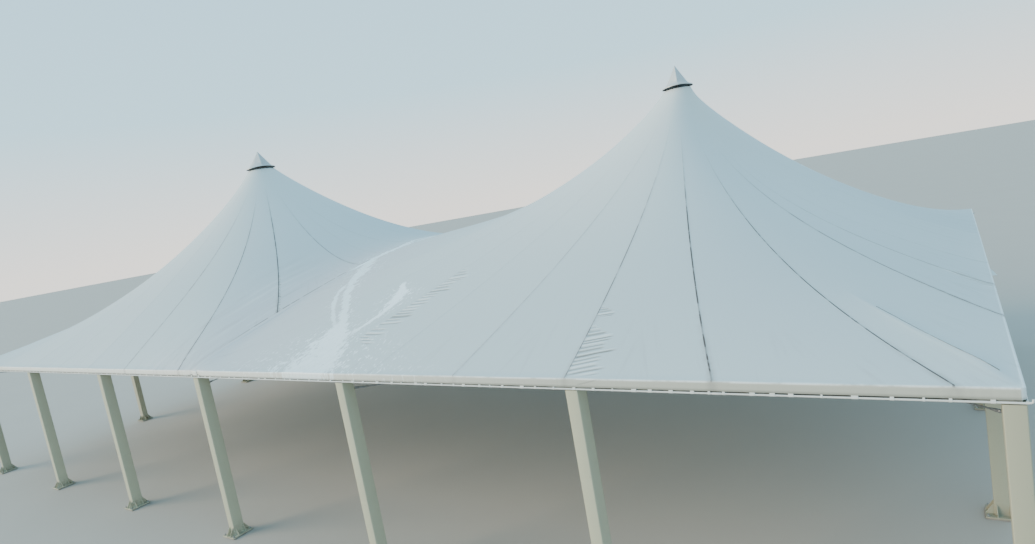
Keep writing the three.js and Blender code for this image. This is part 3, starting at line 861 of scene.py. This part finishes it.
def stayLines():
    # root is on the column's face, start and end are the cable's ends at the two lugs
    lines = []
    reach = stay["lug"] - stay["lugSunk"]
    for side, peak in peaks.items():
        axis = np.array([peak["x"], 0, stay["footHeight"]])
        for order, index in enumerate(stay["columns"][side], 1):
            for place, across in longSides.items():
                root = np.array([index * bay, across * (halfDeep - plan["columnDeep"]), stay["columnHeight"]])
                along = unit(root - axis)
                start = axis + along * (stay["flange"] + reach) / math.hypot(*along[:2])
                lines.append({
                    "name": f"{side}_{place}_{order}", "side": side, "along": along, "root": root,
                    "start": start, "end": root - along * reach,
                })
    return lines


stays = stayLines()


def aimed(origin, along):
    # X along the given direction, Y level, Z up
    level = unit(np.cross([0, 0, 1], along))
    grid = np.column_stack([along, level, np.cross(along, level), origin])
    return Matrix(np.vstack([grid, [0, 0, 0, 1]]).tolist())


def addLug(part, root, along, sunk):
    # A plate with a rounded far end and a pin through it
    long, high, wide = stay["lug"] - sunk, stay["lugHigh"] / 2, stay["lugWide"] / 2
    tip = [long - stay["tip"], 0] + stay["tip"] * around(np.linspace(-quarter, quarter, 9))
    outline = np.vstack([[[-sunk, high], [-sunk, -high], [0.005, -high]], tip, [[0.005, high]]])
    flat = aimed(root, along) @ tipX
    part.add(prism(outline, slab(-wide, wide, 0.002)), 0, flat)
    pin = lathe(drum(stay["pin"], -stay["pinHalf"], stay["pinHalf"], 0.001, 0.001, 0.004), 12)
    part.add(pin, 0, flat @ moved(long - stay["pinInset"]))


def makeStay(line):
    # One tube along the line whose radius follows the fork, its taper, the rod and the cable
    length = float(np.linalg.norm(line["end"] - line["start"])) - 2 * plan["fitGap"]
    fork, cable, run = stay["fork"], stay["cable"], stay["forkLength"]
    shape = [
        (0, 0.018), (0.006, fork), (0.09, fork), (0.1, 0.02), (0.12, 0.02), (0.125, fork * 0.92),
        (0.21, fork * 0.92), (0.215, 0.018), (run - 0.05, 0.018), (run, cable),
    ]
    steps = [(step, cable) for step in np.linspace(run + 0.1, length - run - 0.1, 24)]
    at, radius = np.array(shape + steps + [(length - at, radius) for at, radius in shape[::-1]]).T
    surface = sweep(line["start"] + line["along"] * (plan["fitGap"] + at[:, None]), radius, sides=12)
    # The strands: a wave that winds round six times a turn and on along the cable
    twist = np.tile(np.arange(12) * math.pi, len(at)) + np.repeat(at, 12) * 60
    part = Part("cable_" + line["name"], strandZinc)
    part.add(surface, strand=twist)
    return part.build(45, ["stay_" + line["name"]])


for line in stays:
    makeStay(line)


# Columns, all of one pattern, each with its own base plate, gussets, anchor bolts and grout pad
column = {
    "corner": 0.016, "splice": 1.75, "plate": (0.5, 0.59), "plateLow": 0.03, "plateTop": 0.055,
    "padInset": 0.03, "gussetHigh": 0.2, "gussetThick": 0.012, "gussetGap": 0.01, "offsetWide": 0.075,
    "offsetDeep": 0.105, "bolts": (0.205, 0.25), "boltRadius": 0.012, "boltHigh": 0.049, "nut": 0.0215,
    "washer": 0.026, "bead": [(-0.008, 0.005), (-0.003, 0.0005), (0, 0), (0.003, 0.0005), (0.008, 0.005)],
    "weld": [(-0.001, 0), (0.002, 0.001), (0.011, 0.0105)],
}


def addGussets(part, place):
    # Plates with five corners, two on each face of the column
    high, thick = column["gussetHigh"], column["gussetThick"] / 2
    for face, across, edge, turn in (
        (plan["columnWide"] / 2, column["offsetDeep"], column["plate"][0] / 2, 0),
        (plan["columnDeep"] / 2, column["offsetWide"], column["plate"][1] / 2, quarter),
    ):
        run = edge - face - column["gussetGap"]
        outline = [[-0.005, 0], [run, 0], [run, 0.015], [0.015, high], [-0.005, high]]
        plate = prism(outline, slab(-thick, thick, 0.0015))
        for back in (0, math.pi):
            for sign in (-1, 1):
                foot = moved(face, sign * across, column["plateTop"] - 0.001)
                part.add(plate, 0, place @ moved(turn=turn + back) @ foot @ tipX)


def addAnchors(part, place):
    # Washer, nut and stud, turned profiles, near each corner of the base plate
    radius, top, wide = column["boltRadius"], column["plateTop"], column["washer"]
    rows = [(0.013, 0), (wide, 0), (wide, 0.003), (wide - 0.001, 0.004), (0.013, 0.004)]
    washer = lathe([(across, top + up) for across, up in rows], 14)
    nut = lathe(drum(column["nut"], top + 0.004, top + 0.024, 0.001, 0.002, 0.003), 6)
    low, high = top + 0.02, top + column["boltHigh"]
    stud = lathe([(0, low), (radius, low), (radius, high - 0.003), (radius - 0.003, high), (0, high)], 10)
    for sx in (-1, 1):
        for sy in (-1, 1):
            spot = place @ moved(sx * column["bolts"][0], sy * column["bolts"][1], 0, 0.3 * sx + 0.5 * sy)
            part.add(washer, 2, spot).add(nut, 2, spot).add(stud, 2, spot)


def makeColumn(name, x, y, turn):
    # A rounded box with a bead at the splice and one at its foot, on a base plate over grout
    part = Part("post_" + name, columnPaint, grout, zinc)
    place = moved(x, y, 0, turn)
    low, top, splice, plateLow = column["plateTop"], plan["columnTop"], column["splice"], column["plateLow"]

    def section(grow, rounder):
        # The column's outline, larger by grow on each side
        sizes = (plan[key] + 2 * grow for key in ("columnWide", "columnDeep"))
        return roundedOutline(*sizes, column["corner"] + rounder)

    padSize = [size - 2 * column["padInset"] for size in column["plate"]]
    for slot, outline, levels in (
        (0, section(0, 0), [(low - 0.002, 0), (splice, 0), (top - 0.001, 0), (top, 0.001)]),
        (0, section(0.004, 0.004), [(splice + up, inset) for up, inset in column["bead"]]),
        (0, section(0.01, 0.006), [(low + up, inset) for up, inset in column["weld"]]),
        (0, roundedOutline(*column["plate"], 0.005, 2), slab(plateLow, low, 0.002, 0.003)),
        (1, roundedOutline(*padSize, 0.012, 2), [(0, -0.01), (0.012, -0.004), (plateLow + 0.001, 0.004)]),
    ):
        part.add(prism(outline, levels), slot, place)
    addGussets(part, place)
    addAnchors(part, place)
    for line in stays:
        if abs(line["root"][0] - x) < 0.01 and line["root"][1] * y > 0:
            addLug(part, line["root"], -line["along"], stay["lugSunk"])
    return part.build(35, ["column_" + name])


for index in range(plan["baysWide"] + 1):
    for place, sign in longSides.items():
        makeColumn(f"{place}_{index + 1}", (index - 3) * bay, sign * (halfDeep - plan["columnDeep"] / 2), 0)
for index in (1, 2):
    for place, sign in shortSides.items():
        across = sign * (halfWide - plan["columnDeep"] / 2)
        makeColumn(f"{place}_{index}", across, (index - 1.5) * bay, quarter)
print("columns and stays made")


# Eave: beams with splice plates, the rail under the band, the rope in its hem and the lacing
eave = {
    "beamShort": 0.019, "railRadius": 0.0135, "railHeight": 4.5065, "railY": 8.701, "railX": 17.216,
    "overrun": 0.075, "ropeRadius": 0.0042, "ropeInset": 0.0121, "ropeRise": 0.012, "ropeBend": 0.07,
    "strapGaps": (0.2, 0.42), "strapWidths": (0.02, 0.085), "strapThick": 0.0025, "strapTail": 0.05,
    "strapGap": 0.0008, "railEnd": [(0.075, 0), (0.045, 0.003), (0.025, 0.014), (0.022, 0.045)],
    "sleeve": 0.0035, "sleeveHalf": 0.06, "splicePlate": (0.36, 0.13), "spliceBolt": 0.014,
    "spliceBoltsAt": [(x, y) for x in (-0.14, -0.06, 0.06, 0.14) for y in (-0.04, 0.04)],
}


def makeBeam(name, half, across, axis):
    # Rounded box section along one eave, with a bolted splice plate on its inner face in each bay
    high, deep, isLong = plan["beamTop"] - plan["beamBottom"], plan["beamDeep"], axis == "x"
    base = moved(*laid(axis, 0, across, plan["beamBottom"] + high / 2), 0 if isLong else quarter)
    part = Part("beam_" + name, beamPaint, zinc)
    part.add(prism(roundedOutline(high, deep, 0.012, 3), slab(-half, half, 0.003)), 0, base @ tipY)
    inner = -math.copysign(1, across) * (1 if isLong else -1)
    bays = plan["baysWide"] if isLong else plan["baysDeep"]
    plate = prism(roundedOutline(*eave["splicePlate"], 0.004, 2), [(-0.001, 0), (0.008, 0), (0.01, 0.002)])
    bolt = lathe(drum(eave["spliceBolt"], 0.009, 0.02, 0.001, 0.002, 0.002), 6)
    for k in range(bays):
        spot = base @ moved((k - (bays - 1) / 2) * bay, inner * deep / 2)
        spot = spot @ Matrix.Rotation(-inner * quarter, 4, "X")
        part.add(plate, 0, spot)
        for place in eave["spliceBoltsAt"]:
            part.add(bolt, 1, spot @ moved(*place))
    return part.build(35, ["edge_beam_" + name])


def makeRail(name, half, across, axis):
    # A tube whose ends turn up on the long eaves, with a sleeve over each joint
    radius, height = eave["railRadius"], eave["railHeight"]
    ends = [(half, 0)]
    if axis == "x":
        ends = [(half - short, lift) for short, lift in eave["railEnd"]]
    run = [(at, 0) for at in np.linspace(0.02 - ends[0][0], ends[0][0] - 0.02, 13)]
    at, lift = np.array([(-at, lift) for at, lift in ends[::-1]] + run + ends).T
    aside = np.tile([0, 1, 0] if axis == "x" else [-1, 0, 0], (len(at), 1))
    part = Part("rail_" + name, railPaint)
    part.add(sweep(laid(axis, at, across, height + lift), radius, 14, aside=aside))
    wide, long = radius + eave["sleeve"], eave["sleeveHalf"]
    rows = np.array([(radius - 0.001, long), (wide - 0.001, long), (wide, long - 0.003)])
    sleeve = lathe(np.vstack([rows * [1, -1], rows[::-1]]), 16)
    for k in range(-2, 3) if axis == "x" else (-0.5, 0.5):
        middle = k * bay + bay / 2.4
        if abs(middle) < half - 0.5:
            spot = moved(*laid(axis, middle, across, height))
            part.add(sleeve, 0, spot @ (tipY if axis == "x" else tipX))
    return part.build(40, ["edge_rail_" + name])


def makeHem(side):
    # The rope in the hem of one half, from valley joint round the end to valley joint
    bend = eave["ropeBend"]
    wide, deep = halfWide - eave["ropeInset"] - bend, halfDeep - eave["ropeInset"] - bend
    turn = np.linspace(0, quarter, 6)
    x = np.append(np.linspace(0.004, wide - 0.01, 40), wide + bend * np.sin(turn))
    y = np.append(np.full(40, deep + bend), deep + bend * np.cos(turn))
    path = laid("x", np.append(x, x[::-1]), np.append(-y, y[::-1]), plan["bandBottom"] + eave["ropeRise"])
    part = Part("hem_" + side, hemFinish)
    part.add(sweep(path * [peaks[side]["sign"], 1, 1], eave["ropeRadius"], 10))
    return part.build(60)


def makeLacing(name, half, sign, axis):
    # Each strap hangs on the hem rope behind the band, comes down in front of the rail, turns under it and
    # ends flat under the beam: one line of the section, thickened and carried along by the strap's width
    rng = np.random.default_rng(sum(map(ord, name)))
    rope, rail = (eave[key] + eave["strapGap"] for key in ("ropeRadius", "railRadius"))
    ropeAt = (halfDeep if axis == "x" else halfWide) - eave["ropeInset"]
    ropeHigh = plan["bandBottom"] + eave["ropeRise"]
    railAt = eave["railY"] if axis == "x" else eave["railX"]
    over = np.linspace(np.pi, 0, 5)
    front = np.linspace(np.pi * 0.6, -quarter, 8)
    tail = plan["beamBottom"] - eave["strapGap"]
    inner = np.vstack([
        [[ropeAt - rope, ropeHigh - 0.004]],
        [ropeAt, ropeHigh] + rope * around(over),
        [railAt, eave["railHeight"]] + rail * around(front),
        [[railAt - 0.03, tail], [railAt - 0.03 - eave["strapTail"], tail]],
    ])
    outer = inner + unit(np.gradient(inner, axis=0)) @ leftOf * eave["strapThick"]
    at = np.cumsum(rng.uniform(*eave["strapGaps"], int(2 * half / eave["strapGaps"][0]))) - half + 0.05
    at = at[at < half - 0.2]
    width = rng.uniform(*eave["strapWidths"], len(at))
    rings = [
        laid(axis, (at + width * share)[:, None], sign * section[:, 0], section[:, 1])
        for section, share in ((outer, -0.5), (outer, 0.5), (inner, 0.5), (inner, -0.5))
    ]
    size = 4 * len(inner)
    one = np.vstack([gridFaces(len(inner), 4), [[3, 2, 1, 0]], np.arange(size - 4, size)[None]])
    one = one[:, ::-1] if (sign > 0) == (axis == "x") else one
    faces = (one + (np.arange(len(at)) * size)[:, None, None]).reshape(-1, 4)
    part = Part("lacing_" + name, lacingFinish)
    part.add((np.stack(rings, 2), [faces]))
    return part.build(50)


tab = {"from": -1.7, "to": -2.42, "under": 0.028, "reach": 0.085, "droop": 0.02, "below": 0.0145}


def makeTab():
    # A loose flap of the fabric's edge at the right eave: a curved triangle, thickened by the sheet's own
    # thickness, that droops a little towards its tip
    across, out = np.meshgrid(np.linspace(0, 1, 26), np.linspace(0, 1, 6), indexing="ij")
    reach = np.minimum(across / 0.88, (1 - across) / 0.12) * tab["reach"]
    x = halfWide - tab["under"] + out * (tab["under"] + reach)
    y = tab["from"] + (tab["to"] - tab["from"]) * across
    z = eaveTop - tab["below"] - tab["droop"] * (out * reach / tab["reach"]) ** 2
    part = Part("eave_tab", lacingFinish)
    part.add((joined(x, y, z), [gridFaces(26, 6, closed=False)]))
    return thicken(part.build(60), 0)


hems = {side: makeHem(side) for side in peaks}
makeTab()
for name, sign in longSides.items():
    beamAt = sign * (plan["beamFaceY"] - plan["beamDeep"] / 2)
    makeBeam(name, plan["beamFaceX"] - eave["beamShort"], beamAt, "x")
    makeRail(name, halfWide + eave["overrun"], sign * eave["railY"], "x")
    makeLacing(name, halfWide, sign, "x")
for name, sign in shortSides.items():
    sideHalf = plan["beamFaceY"] - plan["fitGap"]
    makeBeam(name, sideHalf - plan["beamDeep"], sign * (plan["beamFaceX"] - plan["beamDeep"] / 2), "y")
    makeRail(name, sideHalf, sign * eave["railX"], "y")
    makeLacing(name, halfDeep, sign, "y")
print("eave made")


# Peaks: the ring with its clamp bar and spokes, the mast under it and the cap over it
ringShape = {
    "wall": 0.05, "high": 0.06, "hub": 0.11, "hubBelow": 0.02, "hubAbove": 0.04, "spokes": 6, "bolts": 24,
    "boltInset": 0.008, "bolt": 0.012, "spoke": (0.024, 0.04), "bar": (0.036, 0.006), "barRise": 0.0095,
}
capShape = {
    "lip": 0.03, "stem": 0.045, "skin": 0.006, "sides": 120, "crease": {"left": -30, "right": -70},
    "creaseTurn": 40, "skirt": 0.15, "skirtHigh": 0.06, "rimWave": 0.04,
    "flare": {"left": 0.034, "right": 0.04}, "darkLip": 0.006, "rows": 34, "topShare": 0.985,
    "foldFull": 0.4, "waveEnd": 0.35, "worn": {"left": 0.55, "right": 0.28},
}
mastShape = {"radius": 0.097, "end": 0.062, "flange": 0.17, "flangeThick": 0.032, "taper": 0.32, "neck": 0.06}


def makeCap(side):
    # A cone of sheet that flares at its rim, with one sharp upright fold where two flat facets meet: within
    # the fold's turn the section follows the lines that touch the circle, 1 / cos of the turn left, and the
    # rim rises at the fold and sinks at its sides
    peak, sides, skin, lip = peaks[side], capShape["sides"], capShape["skin"], capShape["lip"]
    base, tip, flare = peak["top"] + peak["capGap"], peak["tip"], capShape["flare"][side]
    radius, rise = peak["capRadius"] + flare, tip - base - lip
    t = np.linspace(0, capShape["topShare"], capShape["rows"])
    skirt = (peak["capRadius"] * capShape["skirt"] + flare) * np.exp(-t / capShape["skirtHigh"])
    cone = peak["capRadius"] * (1 - capShape["skirt"]) * (1 - t)
    rows = joined(cone + skirt, base + lip + rise * t)
    dark = base + capShape["darkLip"]
    inner = (rows - [skin * 1.6, skin])[-4::-1]
    rim = [
        (radius - skin - 0.002, base + lip - 0.008), (radius - skin - 0.004, base), (radius - 0.004, base),
        (radius, base + 0.004), (radius, dark), (radius, dark + 0.002), (radius, base + lip - 0.004),
    ]
    profile = np.vstack([inner, rim, rows])
    height = profile[:, 1, None]
    turn = np.arange(sides) * 2 * np.pi / sides - np.pi
    fold = math.radians(capShape["crease"][side])
    offset = np.abs(wrapped(turn - fold))
    growth = 1 / np.cos(np.maximum(math.radians(capShape["creaseTurn"]) - offset, 0)) - 1
    full = base + lip + capShape["foldFull"] * rise
    grown = profile[:, :1] * (1 + growth * (0.1 + 0.9 * smooth(height, base + lip, full)))
    wave = capShape["rimWave"] * radius * np.cos(2 * (turn - fold))
    wave = wave * (1 - smooth(height, base, base + capShape["waveEnd"] * rise))
    points = joined(grown * np.cos(turn), grown * np.sin(turn), height + wave)
    # The rim and the inside are painted dark, and the side after the fold is painted darker, both as painted
    # shade
    shadeMask = np.append(np.repeat(np.arange(len(profile)) < len(inner) + 5, sides), [1, 0])
    worn = np.tile(smooth(np.sin(turn - fold), 0.02, 0.12), len(profile)) * capShape["worn"][side]
    part = Part("cap_" + side, capFinish, zinc)
    place = moved(peak["x"])
    surface = shell(points, [[0, 0, height[0, 0]], [0, 0, tip]])
    part.add(surface, 0, place, rim=shadeMask, worn=np.append(worn, [0, 0]))
    seat, top = peak["top"] - ringShape["high"] + ringShape["hubAbove"] + plan["fitGap"], tip - 0.16
    stem = capShape["stem"]
    wide = stem + 0.025
    rows = [(0, seat), (wide, seat), (wide, seat + 0.01), (stem, seat + 0.012), (stem, top), (0, top)]
    part.add(lathe(rows, 24), 1, place)
    # The sheet's closing seam: a folded strip down the back of the cone
    out = -around(fold)
    line = np.column_stack([np.outer(cone + skirt + 0.002, out), base + lip + rise * t])
    flank = np.array([[0.012, -0.003], [0.012, 0.002], [0.008, 0.004]])
    outline = np.vstack([flank, flank[::-1] * [-1, 1]])
    part.add(sweep(line, outline=outline, aside=np.tile([*out @ leftOf, 0], (len(line), 1))), 0, place)
    return part.build(24, ["peak_cap_" + side])


def makeRing(side):
    # A rounded box section turned into a ring, with a clamp bar and bolts over the fabric's edge
    peak, wall, hub = peaks[side], ringShape["wall"], ringShape["hub"]
    low, top, outer = peak["top"] - ringShape["high"], peak["top"], peak["ring"]
    boltsAt = outer - ringShape["boltInset"]
    part = Part("ring_" + side, ringSteel)
    place = moved(peak["x"])
    for section in (
        roundedOutline(wall, ringShape["high"], 0.01, 3) + [outer - wall / 2, (low + top) / 2],
        roundedOutline(*ringShape["bar"], 0.002, 2) + [boltsAt, top + ringShape["barRise"]],
    ):
        part.add(shell(turnedRings(section, 72), loop=True), 0, place)
    bolt = lathe(drum(ringShape["bolt"], top + 0.011, top + 0.022, 0.001, 0.002, 0.002), 6)
    for k in range(ringShape["bolts"]):
        turn = (k + 0.5) * 2 * math.pi / ringShape["bolts"]
        part.add(bolt, 0, place @ moved(*boltsAt * around(turn), 0, turn))
    hubLow, hubHigh = low - ringShape["hubBelow"], low + ringShape["hubAbove"]
    part.add(lathe(drum(hub, hubLow, hubHigh, 0.004, 0.004, 0.004), 36), 0, place)
    bar = prism(roundedOutline(*ringShape["spoke"], 0.004, 2), [(0, 0), (outer - wall - hub + 0.03, 0)])
    for k in range(ringShape["spokes"]):
        spoke = moved(turn=k * 2 * math.pi / ringShape["spokes"]) @ moved(hub - 0.015, 0, low + 0.017)
        part.add(bar, 0, place @ spoke @ tipY)
    return part.build(35, ["peak_ring_" + side])


def makeMast(side):
    # A tube turned from a profile, with a flange near its foot, four lugs and stiffeners between them
    keys = ("radius", "end", "flange", "neck", "taper")
    radius, end, flange, neck, taper = (mastShape[key] for key in keys)
    head = peaks[side]["top"] - ringShape["high"] - ringShape["hubBelow"] - plan["fitGap"]
    low, high = (stay["footHeight"] + sign * mastShape["flangeThick"] / 2 for sign in (-1, 1))
    part = Part("mast_" + side, zinc)
    place = moved(peaks[side]["x"])
    foot, tube, ribHigh = low - neck, radius - 0.012, neck * 1.6
    part.add(lathe([
        (0, foot), (end - 0.01, foot), (end, foot + 0.008), (end, low), (flange - 0.003, low),
        (flange, low + 0.003), (flange, high - 0.003), (flange - 0.003, high), (end + 0.012, high),
        (end + 0.002, high + 0.012), (end, high + neck), (tube, high + taper - 0.06), (radius, high + taper),
        (radius, head - taper), (tube, head - taper + 0.06), (end, head - 0.03), (end + 0.014, head - 0.028),
        (end + 0.016, head - 0.004), (end + 0.012, head), (0, head),
    ], 40), 0, place)
    outer = flange - 0.015
    outline = [[end - 0.01, 0], [outer, 0], [outer, 0.01], [end + 0.01, ribHigh], [end - 0.01, ribHigh]]
    rib = prism(outline, slab(-0.005, 0.005, 0.001))
    for line in stays:
        if line["side"] == side:
            addLug(part, line["start"], line["along"], stay["lug"])
            turn = math.atan2(line["along"][1], line["along"][0])
            part.add(rib, 0, place @ moved(z=high - 0.001, turn=turn) @ tipX)
    return part.build(35, ["flying_mast_" + side])


for side in peaks:
    makeCap(side)
    makeRing(side)
    makeMast(side)
print("peaks made")


# Camera, light and floor
studio = {
    "eye": (16.703, -17.232, 7.725), "turn": (1.6829, 0.37, -0.5839), "lens": 22.21, "filmWidth": 36,
    "sky": [(0, (0.99, 0.96, 0.90)), (0.18, (0.545, 0.83, 0.97)), (0.7, (0.365, 0.68, 0.91))],
    "skyStrength": 1.66, "keyStrength": 4, "keyColour": (1, 0.84, 0.62), "keyFrom": (-0.78, -0.62, 0.36),
    "keySoft": 35, "floor": (0.46, 0.42, 0.37), "floorRadius": 400,
}


def makeCamera():
    # turn is the rotation vector from the world to the camera's right, down and forward axes
    spin = Vector(studio["turn"])
    axes = Matrix.Rotation(spin.length, 3, spin.normalized())
    camera = placed("camera", bpy.data.cameras.new("camera"))
    columns = Matrix((axes[0], -axes[1], -axes[2])).transposed()
    camera.matrix_world = Matrix.Translation(studio["eye"]) @ columns.to_4x4()
    camera.data.lens, camera.data.sensor_width = studio["lens"], studio["filmWidth"]
    camera.data.clip_end = studio["floorRadius"]
    bpy.context.scene.camera = camera


def makeLight():
    # A sky that is a ramp on the direction's Z, and one soft sun
    world = bpy.data.worlds.new("sky")
    bpy.context.scene.world = world
    world.use_nodes = True
    nodes, links = world.node_tree.nodes, world.node_tree.links
    parts = nodes.new("ShaderNodeSeparateXYZ")
    links.new(nodes.new("ShaderNodeTexCoord").outputs["Generated"], parts.inputs[0])
    ramp = nodes.new("ShaderNodeValToRGB")
    setStops(ramp, studio["sky"])
    links.new(parts.outputs["Z"], ramp.inputs[0])
    links.new(ramp.outputs[0], nodes["Background"].inputs["Color"])
    nodes["Background"].inputs["Strength"].default_value = studio["skyStrength"]
    key = bpy.data.lights.new("key", "SUN")
    key.energy, key.color = studio["keyStrength"], studio["keyColour"]
    key.angle = math.radians(studio["keySoft"])
    placed("key", key).rotation_euler = (-Vector(studio["keyFrom"])).to_track_quat("-Z", "Y").to_euler()


def makeFloor():
    finish = Finish("floor", studio["floor"])
    finish.lay(finish.coords().noise(0.3), tuple(value * 0.93 for value in studio["floor"]))
    mesh = bpy.data.meshes.new("floor")
    rim = np.column_stack([studio["floorRadius"] * circle(96), np.zeros(96)])
    mesh.from_pydata(rim.tolist(), [], [list(range(96))])
    mesh.materials.append(finish.done({"Roughness": 0.85}))
    placed("floor", mesh)


makeCamera()
makeLight()
makeFloor()
print("camera, light, floor and sheets ready")
